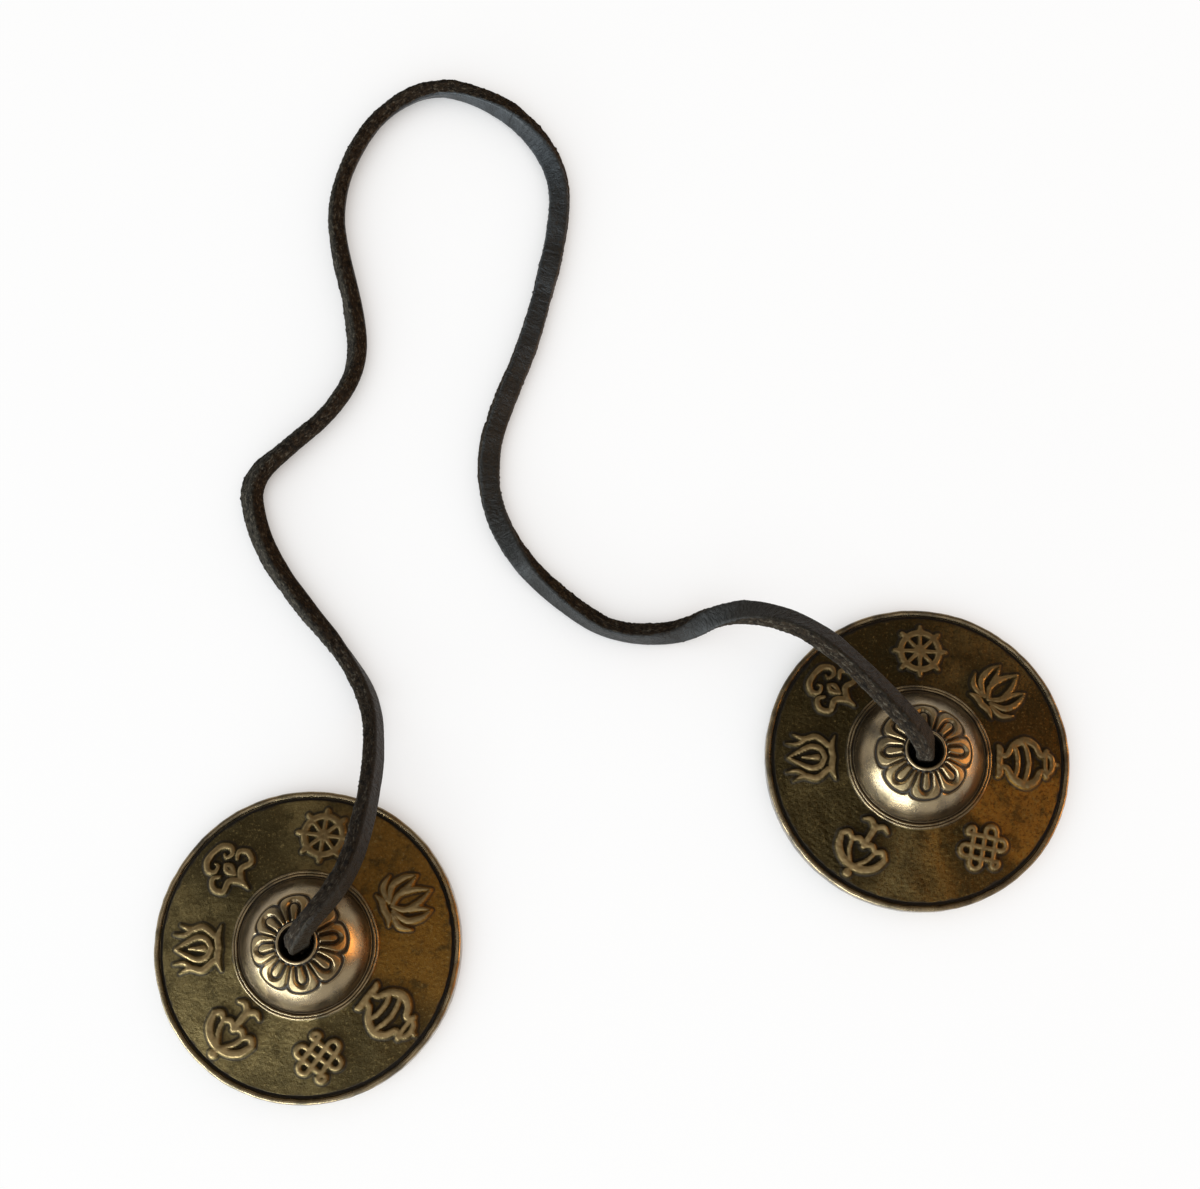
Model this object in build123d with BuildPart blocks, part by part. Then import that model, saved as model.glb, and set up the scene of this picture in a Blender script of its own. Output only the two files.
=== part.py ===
from build123d import *

import math
import os

# Tingsha: two cast hand cymbals on one knotted leather lace, laid out on a table.
# Millimetres, +Z up, table at z = 0. The origin lies midway between the two cymbals.

# Cymbal outline
cymbal_diameter = 65.0
cymbal_spacing = 135.6
rest_ring_width = 2.4
bottom_edge_chamfer = 0.5
field_edge_z = 3.9
field_collar_z = 5.6
field_wall = 3.1
rim_bead_width = 1.3
rim_groove_width = 0.6
rim_groove_depth = 0.45

# Collar bead and dome
dome_foot_radius = 14.0
dome_foot_z = 5.9
dome_rise = 10.2
dome_wall = 3.0
collar_bead_width = 1.1
collar_step = 0.35
collar_riser = 0.3
hollow_flare = 1.2
hollow_flare_drop = 1.9

# Lace, squarish in section, and the bore that it passes through
lace_width = 4.8
lace_thick = 3.7
lace_clearance = 0.5
lip_width = 0.8
lip_riser = 0.15

# Lotus rosette cast round the bore
petal_count = 8
rosette_radius = 9.8
rosette_lip_gap = 0.25
petal_gap = 0.5
petal_bulge = 0.9
petal_corner_round = 1.1
petal_border = 1.1
petal_relief = 0.4
petal_root = 0.4
channel_root_half = 0.85
channel_head_half = 1.55
tongue_root_half = 0.45
tongue_head_half = 0.85
tongue_gap = 0.6
left_turn = 37.0
right_turn = 28.0

# Seven ornaments cast on the flange, in place of lettering, and where they stand in degrees
ornament_relief = 0.85
ornament_root = 0.4
left_angles = (66, 7, -55, -98, -147, 165, 120)
right_angles = (70, 22, -20, -73, -140, 163, 123)

# Wheel
wheel_radius = 4.7
wheel_rim = 1.2
spoke_count = 8
spoke_width = 1.0

# Outlines of the other ornaments, across and outward from the middle. A mirrored one has its right half.
lotus_petal = [(0, -4.0), (2.3, 0.4), (0, 5.8), (-2.3, 0.4)]
lotus_slit = [(0, -2.2), (0.9, 0.6), (0, 3.6), (-0.9, 0.6)]
lotus_side_petal = [(1.0, -4.2), (5.4, -0.9), (4.4, 4.3), (3.0, 0.4)]
lotus_base = [(3.8, -6.2), (0, -4.5), (-3.8, -6.2), (0, -5.9)]
vase_foot = [(0, -6.8), (3.6, -6.8), (3.2, -5.4), (1.6, -5.0)]
vase_belly = (5.5, -0.8)
vase_mouth = [(1.9, 3.2), (3.6, 5.4), (0.7, 5.7), (0, 6.9)]
vase_slot_length = 5.4
vase_slot_width = 1.0
vase_slots = [(0, 1.3), (0, -1.2)]
lattice_spacing = 2.35
lattice_strand = 1.15
lattice_holes = 2
lattice_turn = 45
ear_count = 4
ear_reach = 3.0
ear_radius = 1.85
ear_sides = 8
parasol_rim = [(0, 5.1), (4.3, 3.1), (6.0, -0.7)]
parasol_hem = [(4.1, -2.3), (2.8, -1.2), (1.5, -2.3), (0.7, -1.7), (0.7, -5.2), (3.3, -6.2), (0, -6.8)]
parasol_panel = [(0, 2.9), (1.9, -0.4), (-1.9, -0.4)]
parasol_side_panel = [(2.8, 2.3), (4.4, -0.1), (3.4, -0.5)]
parasol_knob = (0, 5.9)
parasol_knob_radius = 0.95
jewel_tip = (0, 5.2)
jewel_bowl = [(2.5, 0.1), (1.9, -3.1), (0, -3.9)]
jewel_flame = [(2.4, -4.5), (5.2, -1.2), (5.3, 4.2), (3.6, -0.6)]
jewel_tongue = [(4.2, -0.2), (2.7, 2.2), (3.1, 5.4), (3.9, 2.6)]
jewel_base = [(5.0, -6.1), (0, -4.2), (-5.0, -6.1), (0, -5.6)]
cloud_lobe_radius = 2.4
cloud_crown_radius = 3.0
cloud_lobe = (3.3, -0.7)
cloud_crown = (0, 2.9)
cloud_eye_radius = 1.1
cloud_eye_sides = 4
cloud_tail = [(2.2, -2.4), (0, -6.4), (-2.2, -2.4)]

# Stopper knots under the domes
knot_radius = 5.7
knot_seat_gap = 0.3
wrap_count = 3
wrap_sides = 8
wrap_tilt = 50.0
tail_length = 9.0
tail_drop = 2.6

# Lace route
floor_gap = 0.55
bend_rise = 7.6
arc_share = 0.45

rim_radius = cymbal_diameter / 2
rest_ring_radius = rim_radius - bottom_edge_chamfer
groove_radius = rim_radius - rim_bead_width
field_radius = groove_radius - rim_groove_width
field_floor_z = field_edge_z - rim_groove_depth
collar_inner_radius = dome_foot_radius + collar_step
collar_radius = collar_inner_radius + collar_bead_width
collar_foot_z = field_collar_z + collar_riser
collar_top_z = collar_foot_z + collar_bead_width / 2
collar_chamfer = collar_bead_width / 4
bore_radius = math.hypot(lace_width, lace_thick) / 2 + lace_clearance
lip_radius = bore_radius + lip_width
dome_radius = (dome_foot_radius**2 + dome_rise**2) / (2 * dome_rise)
dome_centre_z = dome_foot_z + dome_rise - dome_radius
hollow_radius = dome_radius - dome_wall


def sphere_z(radius, at):
    """Height of a sphere about the dome's centre, at a distance from the bore axis."""
    return dome_centre_z + math.sqrt(radius**2 - at**2)


lip_foot_z = sphere_z(dome_radius, lip_radius) + lip_riser
lip_top_z = lip_foot_z + lip_width / 2
lip_chamfer = lip_width / 4
hollow_foot_z = field_collar_z - field_wall + hollow_flare_drop
hollow_foot_radius = math.sqrt(hollow_radius**2 - (hollow_foot_z - dome_centre_z) ** 2)
hollow_mid_radius = (hollow_foot_radius + bore_radius) / 2
dome_mid_radius = (dome_foot_radius + lip_radius) / 2

# Cross-section of a cymbal, from the rest ring up over rim, field, collar and dome to the bore
with BuildPart() as cymbal_blank:
    with BuildSketch(Plane.XZ):
        with BuildLine():
            rest = Line((rest_ring_radius - rest_ring_width, 0), (rest_ring_radius, 0))
            edge = Polyline(rest @ 1, (rim_radius, bottom_edge_chamfer), (rim_radius, field_floor_z))
            bead = ThreePointArc(
                edge @ 1,
                (rim_radius - rim_bead_width / 2, field_floor_z + rim_bead_width / 2),
                (groove_radius, field_floor_z),
            )
            field = Polyline(
                bead @ 1,
                (field_radius, field_floor_z),
                (field_radius, field_edge_z),
                (collar_radius, field_collar_z),
                (collar_radius, collar_foot_z),
            )
            collar = Polyline(
                field @ 1,
                (collar_radius - collar_chamfer, collar_top_z),
                (collar_inner_radius + collar_chamfer, collar_top_z),
                (collar_inner_radius, collar_foot_z),
            )
            step = Line(collar @ 1, (dome_foot_radius, dome_foot_z))
            dome = ThreePointArc(
                step @ 1,
                (dome_mid_radius, sphere_z(dome_radius, dome_mid_radius)),
                (lip_radius, sphere_z(dome_radius, lip_radius)),
            )
            riser = Line(dome @ 1, (lip_radius, lip_foot_z))
            lip = Polyline(
                riser @ 1,
                (lip_radius - lip_chamfer, lip_top_z),
                (bore_radius + lip_chamfer, lip_top_z),
                (bore_radius, lip_foot_z),
            )
            bore = Line(lip @ 1, (bore_radius, sphere_z(hollow_radius, bore_radius)))
            hollow = ThreePointArc(
                bore @ 1,
                (hollow_mid_radius, sphere_z(hollow_radius, hollow_mid_radius)),
                (hollow_foot_radius, hollow_foot_z),
            )
            Polyline(
                hollow @ 1,
                (hollow_foot_radius + hollow_flare, field_collar_z - field_wall),
                (rest_ring_radius - rest_ring_width, field_edge_z - field_wall),
                rest @ 0,
            )
        make_face()
    revolve(axis=Axis.Z)

# Skin of the dome in which the petals stand proud
relief_inner = dome_radius - petal_root
relief_outer = dome_radius + petal_relief
relief_start = lip_radius
relief_end = rosette_radius + petal_border
relief_mid = (relief_start + relief_end) / 2
with BuildPart() as relief_skin:
    with BuildSketch(Plane.XZ):
        with BuildLine():
            under = ThreePointArc(
                (relief_start, sphere_z(relief_inner, relief_start)),
                (relief_mid, sphere_z(relief_inner, relief_mid)),
                (relief_end, sphere_z(relief_inner, relief_end)),
            )
            Line(under @ 1, (relief_end, sphere_z(relief_outer, relief_end)))
            over = ThreePointArc(
                (relief_end, sphere_z(relief_outer, relief_end)),
                (relief_mid, sphere_z(relief_outer, relief_mid)),
                (relief_start, sphere_z(relief_outer, relief_start)),
            )
            Line(over @ 1, under @ 0)
        make_face()
    revolve(axis=Axis.Z)

# One petal of the lotus, seen from above: a raised border, open towards the bore, round a tongue
petal_slope = math.tan(math.pi / petal_count)
petal_start = lip_radius + rosette_lip_gap
petal_corner = rosette_radius - petal_bulge
start_half = petal_start * petal_slope - petal_gap / 2
corner_half = petal_corner * petal_slope - petal_gap / 2
channel_end = rosette_radius - petal_border
channel_corner = channel_end - petal_bulge
tongue_end = channel_end - tongue_gap
tongue_shoulder = tongue_end - tongue_head_half
with BuildPart() as petal:
    with BuildSketch():
        with BuildLine():
            head = ThreePointArc(
                (petal_corner, -corner_half),
                (rosette_radius, 0),
                (petal_corner, corner_half),
            )
            Polyline(head @ 1, (petal_start, start_half), (petal_start, -start_half), head @ 0)
        make_face()
        fillet(vertices().group_by(Axis.X)[-1], petal_corner_round)
        with BuildLine():
            channel_head = ThreePointArc(
                (channel_corner, -channel_head_half),
                (channel_end, 0),
                (channel_corner, channel_head_half),
            )
            Polyline(
                channel_head @ 1,
                (petal_start, channel_root_half),
                (petal_start, -channel_root_half),
                channel_head @ 0,
            )
        make_face(mode=Mode.SUBTRACT)
        with BuildLine():
            tip = ThreePointArc(
                (tongue_shoulder, -tongue_head_half),
                (tongue_end, 0),
                (tongue_shoulder, tongue_head_half),
            )
            Polyline(
                tip @ 1,
                (petal_start, tongue_root_half),
                (petal_start, -tongue_root_half),
                tip @ 0,
            )
        make_face()
    extrude(amount=lip_top_z)
    add(relief_skin.part, mode=Mode.INTERSECT)


def leaf(foot, one_side, tip, other_side):
    """Shape between two arcs that meet at its foot and its tip."""
    with BuildSketch() as made:
        with BuildLine():
            ThreePointArc(foot, one_side, tip)
            ThreePointArc(tip, other_side, foot)
        make_face()
    return made.sketch


spoke_length = wheel_radius - wheel_rim / 2
with BuildSketch() as wheel:
    Circle(wheel_radius)
    Circle(wheel_radius - wheel_rim, mode=Mode.SUBTRACT)
    with PolarLocations(spoke_length / 2, spoke_count):
        Rectangle(spoke_length, spoke_width)

with BuildSketch() as lotus:
    add(leaf(*lotus_side_petal))
    mirror(about=Plane.YZ)
    add(leaf(*lotus_petal))
    add(leaf(*lotus_slit), mode=Mode.SUBTRACT)
    add(leaf(*lotus_base))

with BuildSketch() as vase:
    with BuildLine():
        foot = Polyline(*vase_foot)
        ThreePointArc(foot @ 1, vase_belly, vase_mouth[0])
        Polyline(*vase_mouth)
        mirror(about=Plane.YZ)
    make_face()
    with Locations(*vase_slots):
        Rectangle(vase_slot_length, vase_slot_width, mode=Mode.SUBTRACT)

# Endless knot: a lattice of three strands each way, with an ear on every side, stood on its corner
lattice_side = lattice_holes * lattice_spacing + lattice_strand
lattice_hole = lattice_spacing - lattice_strand
with BuildSketch() as lattice:
    Rectangle(lattice_side, lattice_side)
    with PolarLocations(0, ear_count):
        with Locations((ear_reach, -lattice_spacing / 2)):
            RegularPolygon(ear_radius, ear_sides)
    with GridLocations(lattice_spacing, lattice_spacing, lattice_holes, lattice_holes):
        Rectangle(lattice_hole, lattice_hole, mode=Mode.SUBTRACT)
with BuildSketch() as endless_knot:
    add(lattice.sketch, rotation=lattice_turn)

with BuildSketch() as parasol:
    with BuildLine():
        rim = ThreePointArc(*parasol_rim)
        Polyline(rim @ 1, *parasol_hem, rim @ 0)
    make_face()
    Polygon(*parasol_side_panel, align=None, mode=Mode.SUBTRACT)
    mirror(about=Plane.YZ)
    Polygon(*parasol_panel, align=None, mode=Mode.SUBTRACT)
    with Locations(parasol_knob):
        Circle(parasol_knob_radius)

with BuildSketch() as flaming_jewel:
    add(leaf(*jewel_flame))
    add(leaf(*jewel_tongue))
    mirror(about=Plane.YZ)
    with BuildLine():
        bowl = ThreePointArc(*jewel_bowl)
        Line(jewel_tip, bowl @ 0)
        mirror(about=Plane.YZ)
    make_face()
    add(leaf(*jewel_base))

with BuildSketch() as cloud:
    with Locations(cloud_lobe):
        Circle(cloud_lobe_radius)
        RegularPolygon(cloud_eye_radius, cloud_eye_sides, mode=Mode.SUBTRACT)
    mirror(about=Plane.YZ)
    Polygon(*cloud_tail, align=None)
    with Locations(cloud_crown):
        Circle(cloud_crown_radius)
        RegularPolygon(cloud_eye_radius, cloud_eye_sides, mode=Mode.SUBTRACT)

ornaments = (wheel, lotus, vase, endless_knot, parasol, flaming_jewel, cloud)
outward_angle = 90
ornament_radius = (collar_radius + field_radius) / 2
ornament_top_z = (field_collar_z + field_edge_z) / 2 + ornament_relief
field_slope = math.degrees(math.atan2(field_collar_z - field_edge_z, field_radius - collar_radius))


def flange_ornaments(angles):
    """The seven ornaments in their places round the bore axis, level with the slope of the flange."""
    with BuildPart() as made:
        for ornament, angle in zip(ornaments, angles):
            outward = Rot(0, 0, angle - outward_angle) * Pos(0, ornament_radius, ornament_top_z)
            with BuildSketch(outward * Rot(-field_slope, 0, 0)):
                add(ornament.sketch)
        extrude(amount=-ornament_relief - ornament_root)
    return made.part


left_ornaments = flange_ornaments(left_angles)
right_ornaments = flange_ornaments(right_angles)

with BuildPart() as left_cymbal:
    with Locations((-cymbal_spacing / 2, 0, 0)):
        add(cymbal_blank.part)
        add(left_ornaments)
        with PolarLocations(0, petal_count, start_angle=left_turn):
            add(petal.part)

with BuildPart() as right_cymbal:
    with Locations((cymbal_spacing / 2, 0, 0)):
        add(cymbal_blank.part)
        add(right_ornaments)
        with PolarLocations(0, petal_count, start_angle=right_turn):
            add(petal.part)

# Lace route from the left bore to the right bore. On the table the lace first stands on edge,
# and past the top of its loop it lies flat.
edge_z = lace_width / 2 + floor_gap
flat_z = lace_thick / 2 + floor_gap
turning_z = (edge_z + flat_z) / 2
bend_z = lip_top_z + bend_rise
bore_bottom_z = sphere_z(hollow_radius, bore_radius)
left_x = -cymbal_spacing / 2
right_x = cymbal_spacing / 2
route = [
    (left_x, 0, bore_bottom_z),
    (left_x, 0, bend_z),
    (-53.5, 9, bend_z),
    (-47, 21.5, 18),
    (-43.5, 33.5, 9.5),
    (-41.5, 46.5, edge_z),
    (-44.5, 59, edge_z),
    (-50, 71, edge_z),
    (-54, 82, edge_z),
    (-56, 92, edge_z),
    (-55, 103, edge_z),
    (-43.5, 108.5, edge_z),
    (-32.5, 114, edge_z),
    (-24, 122.5, edge_z),
    (-21.5, 136.5, edge_z),
    (-21, 150, edge_z),
    (-19, 162, edge_z),
    (-12.5, 173, edge_z),
    (-2, 182.5, edge_z),
    (12, 185.5, edge_z),
    (24, 177, edge_z),
    (31, 166, turning_z),
    (33.5, 153, flat_z),
    (28.5, 139.5, flat_z),
    (21, 126, flat_z),
    (13.5, 114.5, flat_z),
    (5.5, 104.5, flat_z),
    (-1.5, 93.5, flat_z),
    (-4, 80, flat_z),
    (-1, 67, flat_z),
    (5, 56, flat_z),
    (13, 46, flat_z),
    (26, 41, flat_z),
    (38, 42, 5.5),
    (47, 36.5, 14),
    (54, 28.5, 21),
    (60.5, 16, bend_z),
    (right_x, 0, bend_z),
    (right_x, 0, bore_bottom_z),
]
points = [Vector(*place) for place in route]
runs = [after - before for before, after in zip(points, points[1:])]
middles = [(before + after) / 2 for before, after in zip(points, points[1:])]


def corner_radius(corner):
    """Largest arc that the two runs at a corner leave room for."""
    turn = math.radians(runs[corner - 1].get_angle(runs[corner]))
    return arc_share * min(runs[corner - 1].length, runs[corner].length) / math.tan(turn / 2)


def stretch_points(first, last):
    """Route from the middle of one run to the middle of a later run."""
    return [middles[first], *points[first + 1:last + 1], middles[last]]


def stretch_radii(first, last):
    """Corner radii of that stretch."""
    return [corner_radius(corner) for corner in range(first + 1, last + 1)]


def square_to(run, heading):
    """Plane across the lace at the middle of a run, with a level X axis."""
    return Plane(origin=middles[run], x_dir=Vector(0, 0, 1).cross(heading), z_dir=runs[run])


left_neck_index = 0
left_bend_index = 1
bight_first_index = 17
bight_last_index = 20
right_bend_index = len(runs) - 2
right_neck_index = len(runs) - 1
left_heading = runs[left_bend_index]
right_heading = runs[right_bend_index]

with BuildPart() as left_bend:
    with BuildLine() as left_bend_path:
        FilletPolyline(
            *stretch_points(left_neck_index, left_bend_index),
            radius=stretch_radii(left_neck_index, left_bend_index),
        )
    with BuildSketch(square_to(left_neck_index, left_heading)):
        Rectangle(lace_thick, lace_width)
    sweep(path=left_bend_path.line)

with BuildPart() as left_leg:
    with BuildLine() as left_leg_path:
        FilletPolyline(
            *stretch_points(left_bend_index, bight_first_index),
            radius=stretch_radii(left_bend_index, bight_first_index),
        )
    with BuildSketch(square_to(left_bend_index, left_heading)):
        Rectangle(lace_thick, lace_width)
    sweep(path=left_leg_path.line)

with BuildPart() as bight:
    with BuildLine() as bight_path:
        FilletPolyline(
            *stretch_points(bight_first_index, bight_last_index),
            radius=stretch_radii(bight_first_index, bight_last_index),
        )
    with BuildSketch(square_to(bight_first_index, runs[bight_first_index])):
        Rectangle(lace_thick, lace_width)
    sweep(path=bight_path.line)

with BuildPart() as right_leg:
    with BuildLine() as right_leg_path:
        FilletPolyline(
            *stretch_points(bight_last_index, right_bend_index),
            radius=stretch_radii(bight_last_index, right_bend_index),
        )
    with BuildSketch(square_to(bight_last_index, runs[bight_last_index])):
        Rectangle(lace_width, lace_thick)
    sweep(path=right_leg_path.line)

with BuildPart() as right_bend:
    with BuildLine() as right_bend_path:
        FilletPolyline(
            *stretch_points(right_bend_index, right_neck_index),
            radius=stretch_radii(right_bend_index, right_neck_index),
        )
    with BuildSketch(square_to(right_bend_index, right_heading)):
        Rectangle(lace_width, lace_thick)
    sweep(path=right_bend_path.line)

# Stopper knot: a tight lump of crossing wraps of lace, with a short cut tail
wrap_radius = math.sqrt(knot_radius**2 - (lace_thick / 2) ** 2)
knot_z = bore_bottom_z - knot_seat_gap - math.sqrt(knot_radius**2 - bore_radius**2)
neck_height = middles[left_neck_index].Z - knot_z
with BuildPart() as wrap:
    with BuildSketch():
        RegularPolygon(wrap_radius, wrap_sides)
    extrude(amount=lace_thick / 2, both=True)

with BuildPart() as knot_lump:
    with Locations((0, 0, knot_z)):
        with PolarLocations(0, wrap_count):
            add(wrap.part, rotation=(wrap_tilt, 0, 0))
    with BuildSketch(Plane(origin=(0, 0, knot_z - tail_drop), x_dir=(0, 1, 0), z_dir=(1, 0, 0))):
        Rectangle(lace_thick, lace_thick)
    extrude(amount=tail_length)

with BuildPart() as left_knot:
    with Locations((left_x, 0, 0)):
        add(knot_lump.part)
    with BuildSketch(square_to(left_neck_index, left_heading)):
        Rectangle(lace_thick, lace_width)
    extrude(amount=-neck_height)

with BuildPart() as right_knot:
    with Locations((right_x, 0, 0)):
        add(knot_lump.part)
    with BuildSketch(square_to(right_neck_index, right_heading)):
        Rectangle(lace_width, lace_thick)
    extrude(amount=neck_height)

# Arcs of the lace, and each stretch's volume against its section times its length
for corner in range(1, len(points) - 1):
    print("corner", corner, "radius", round(corner_radius(corner), 1))
lace_section = lace_width * lace_thick
stretches = {
    "left_bend": (left_bend, left_bend_path),
    "left_leg": (left_leg, left_leg_path),
    "bight": (bight, bight_path),
    "right_leg": (right_leg, right_leg_path),
    "right_bend": (right_bend, right_bend_path),
}
for name, (tube, path) in stretches.items():
    length = sum(piece.length for piece in path.line.edges())
    share = tube.part.volume / (lace_section * length)
    print(name, "length", round(length, 1), "volume share", round(share, 4))

left_cymbal.part.label = "left_cymbal"
right_cymbal.part.label = "right_cymbal"
left_knot.part.label = "left_knot"
left_bend.part.label = "left_bend"
left_leg.part.label = "left_leg"
bight.part.label = "bight"
right_leg.part.label = "right_leg"
right_bend.part.label = "right_bend"
right_knot.part.label = "right_knot"

os.makedirs("parts", exist_ok=True)
export_step(left_cymbal.part, "parts/left_cymbal.step")
export_step(right_cymbal.part, "parts/right_cymbal.step")
export_step(left_knot.part, "parts/left_knot.step")
export_step(left_bend.part, "parts/left_bend.step")
export_step(left_leg.part, "parts/left_leg.step")
export_step(bight.part, "parts/bight.step")
export_step(right_leg.part, "parts/right_leg.step")
export_step(right_bend.part, "parts/right_bend.step")
export_step(right_knot.part, "parts/right_knot.step")
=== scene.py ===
import math

import bpy
import numpy as np
from bpy.props import FloatProperty, FloatVectorProperty, PointerProperty
from mathutils import Matrix, Vector


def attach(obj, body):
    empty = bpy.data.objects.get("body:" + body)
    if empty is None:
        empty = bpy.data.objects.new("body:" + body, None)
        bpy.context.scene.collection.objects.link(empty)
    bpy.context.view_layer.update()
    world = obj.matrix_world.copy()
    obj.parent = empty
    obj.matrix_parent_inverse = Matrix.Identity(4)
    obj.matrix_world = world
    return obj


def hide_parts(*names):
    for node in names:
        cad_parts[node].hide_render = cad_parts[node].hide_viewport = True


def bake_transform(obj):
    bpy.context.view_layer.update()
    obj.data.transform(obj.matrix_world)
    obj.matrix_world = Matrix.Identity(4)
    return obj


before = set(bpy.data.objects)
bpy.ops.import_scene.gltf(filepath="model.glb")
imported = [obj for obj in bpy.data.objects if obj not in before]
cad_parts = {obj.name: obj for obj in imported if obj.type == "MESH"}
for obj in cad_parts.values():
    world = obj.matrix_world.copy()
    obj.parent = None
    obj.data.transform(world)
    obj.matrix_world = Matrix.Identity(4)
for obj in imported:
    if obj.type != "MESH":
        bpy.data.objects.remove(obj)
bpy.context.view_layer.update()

bl_info = {
    "name": "Tingsha cymbals",
    "version": (1, 0, 0),
    "blender": (4, 5, 0),
    "location": "3D View > Sidebar > Tingsha",
    "description": "A pair of cast bronze hand cymbals on one knotted leather lace",
    "category": "Object",
}

MM = 0.001

# Cymbal profile in millimetres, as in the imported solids
CYMBAL_X = 67.8
BORE_R, LIP_R, LIP_FOOT_Z = 3.53, 4.33, 15.598
DOME_R, DOME_Z, DOME_FOOT_R, DOME_FOOT_Z = 14.708, 1.392, 14.0, 5.9
HOLLOW_R, HOLLOW_FOOT_R, HOLLOW_FOOT_Z = 11.708, 11.314, 4.4
FLARE_R, FLARE_Z = 12.514, 2.5
FIELD_IN_R, FIELD_IN_Z, FIELD_OUT_R, FIELD_OUT_Z = 15.45, 5.6, 30.6, 3.9
GROOVE_Z, GROOVE_R, RIM_R = 3.45, 31.2, 32.5
REST_R, REST_IN_R, UNDER_Z = 32.0, 29.6, 0.8
CORNER_EASE = 0.07

# The two fine beads of the collar: radius of the bead, radius at its middle and height of its foot
COLLAR_BEADS = ((0.29, 15.14, 5.95), (0.27, 14.57, 6.02))

# Points round a ring of the casting, where relief is drawn and elsewhere
FINE, COARSE = 512, 256

# Wear and grime of the plain zones of the casting, and the zones that are polished
ZONE_WEAR = {
    "lip": (0.75, 0.0), "collar": (0.6, 0.0), "rim": (0.5, 0.05), "step": (0.1, 0.75),
    "groove": (0.0, 0.95), "under": (0.1, 0.25), "rest": (0.5, 0.1), "bore": (0.1, 0.7),
}
POLISHED = ("lip", "collar", "rim")

# Lotus rosette in millimetres, and how far each is turned about its bore, in degrees
PETALS, ROSETTE_R = 8, 9.8
PETAL_GAP, PETAL_BULGE = 0.4, 1.1
TONGUE_HALF, TONGUE_END, CHANNEL = (0.5, 0.98), 8.15, 0.56
TURNS = {"left": 37.0, "right": 28.0}

# Amber tone, partly patina and partly a painted warm reflection, and darker patches of painted shade on each
# cymbal's flange: where the middle of each lies, in degrees, and the cosine at which it ends
PATINA_AND_PAINTED_LIGHT_SIDES = {
    "left": {"amber": [(-3, 0.1)], "dusk": [(-68, 0.76), (112, 0.78)]},
    "right": {"amber": [(-48, 0.15)], "dusk": [(120, 0.0), (-5, 0.86), (-80, 0.93), (-154, 0.8)]},
}

# How pebbled each flange is, and the random seed of each casting
PEBBLES = {"left": 0.6, "right": 1.0}
CASTING_SEEDS = {"left": 11, "right": 47}
RIPPLE_WAVES = 22

# Where the seven flange ornaments of each cymbal stand, in degrees, and how much of a stroke's width
# lies on each side of its line
ORNAMENT_R, ORNAMENT_REACH, STROKE_SHARE = 23.1, 8, 0.64
PLACES = {
    "left": (66, 7, -55, -98, -147, 165, 120),
    "right": (70, 22, -20, -73, -140, 163, 123),
}

# Lace route in millimetres from the left bore to the right bore, drawn after the photograph. On the table
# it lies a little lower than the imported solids, whose square corners need more room.
BORE_BOTTOM, BEND_Z, EDGE_Z, FLAT_Z, TURNING_Z = 12.555, 23.598, 2.55, 2.0, 2.275
ROUTE = (
    (-67.8, 0, BORE_BOTTOM), (-67.8, 0, BEND_Z), (-53.5, 9, BEND_Z), (-47, 21.5, 18), (-43.2, 33.4, 9.5),
    (-41.3, 46.4, EDGE_Z), (-44.5, 59, EDGE_Z), (-50, 71, EDGE_Z), (-54, 82, EDGE_Z), (-55.8, 91.9, EDGE_Z),
    (-54.7, 103.3, EDGE_Z), (-43.5, 108.5, EDGE_Z), (-32.3, 113.6, EDGE_Z), (-23.8, 122.3, EDGE_Z),
    (-21.2, 136.4, EDGE_Z), (-21, 150, EDGE_Z), (-19, 162, EDGE_Z), (-12.5, 173, EDGE_Z),
    (-2, 182.5, EDGE_Z), (12, 185.5, EDGE_Z), (24, 177, EDGE_Z), (31, 166, TURNING_Z), (33.5, 153, FLAT_Z),
    (28.5, 139.5, FLAT_Z), (20.8, 126, FLAT_Z), (13.6, 114.5, FLAT_Z), (5.5, 104.5, FLAT_Z),
    (-1.8, 93.6, FLAT_Z), (-4.3, 80.1, FLAT_Z), (-1.2, 67, FLAT_Z), (5, 56, FLAT_Z), (13, 46, FLAT_Z),
    (26.1, 41.3, FLAT_Z), (38.2, 42.5, 5.5), (47.1, 36.9, 14), (54, 28.5, 21), (60.5, 16, BEND_Z),
    (67.8, 0, BEND_Z), (67.8, 0, BORE_BOTTOM),
)
BIGHT_RUNS = (17, 20)
LACE_STEPS, LACE_SEED, TABLE_GAP = 32, 5, 0.08

# How far the lace is turned about its own line along the route's points, in degrees from the grain side
# facing the photograph's viewpoint, which is given in millimetres
VIEWPOINT = (-4.3, -33, 382)
LACE_TWIST = (
    (0, -288), (1, -288), (2, -290), (3, -292), (4, -292), (4.5, -291), (5, -287), (5.5, -279), (6, -268),
    (6.5, -255), (7, -247), (8, -242), (9, -234), (9.7, -228), (10.1, -236), (10.4, -253), (11, -265),
    (12, -267), (12.6, -263), (13, -248), (13.4, -241), (14, -249), (15, -256), (16, -263), (17, -268),
    (18, -272), (18.5, -275), (19, -282), (19.5, -294), (20.1, -307), (20.7, -321), (21.2, -334),
    (21.8, -346), (22.5, -354), (24, -360), (25, -366), (26, -373), (27, -374), (27.6, -366), (28.2, -358),
    (28.7, -345), (29.3, -318), (30, -302), (30.5, -297), (31, -292), (31.5, -295), (32, -308),
    (32.3, -330), (32.6, -352), (33, -372), (33.5, -392), (34, -400), (35, -404), (38, -405),
)
TWIST_EASE, END_LEAN = 21, 0.06

# Where the lace flexes above a bore, in millimetres: the height where it starts, then how far out along
# the lace and how high it ends
FLEX_START_Z, FLEX_REACH, FLEX_END_Z = 16.3, 12.0, 29.0

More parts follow.
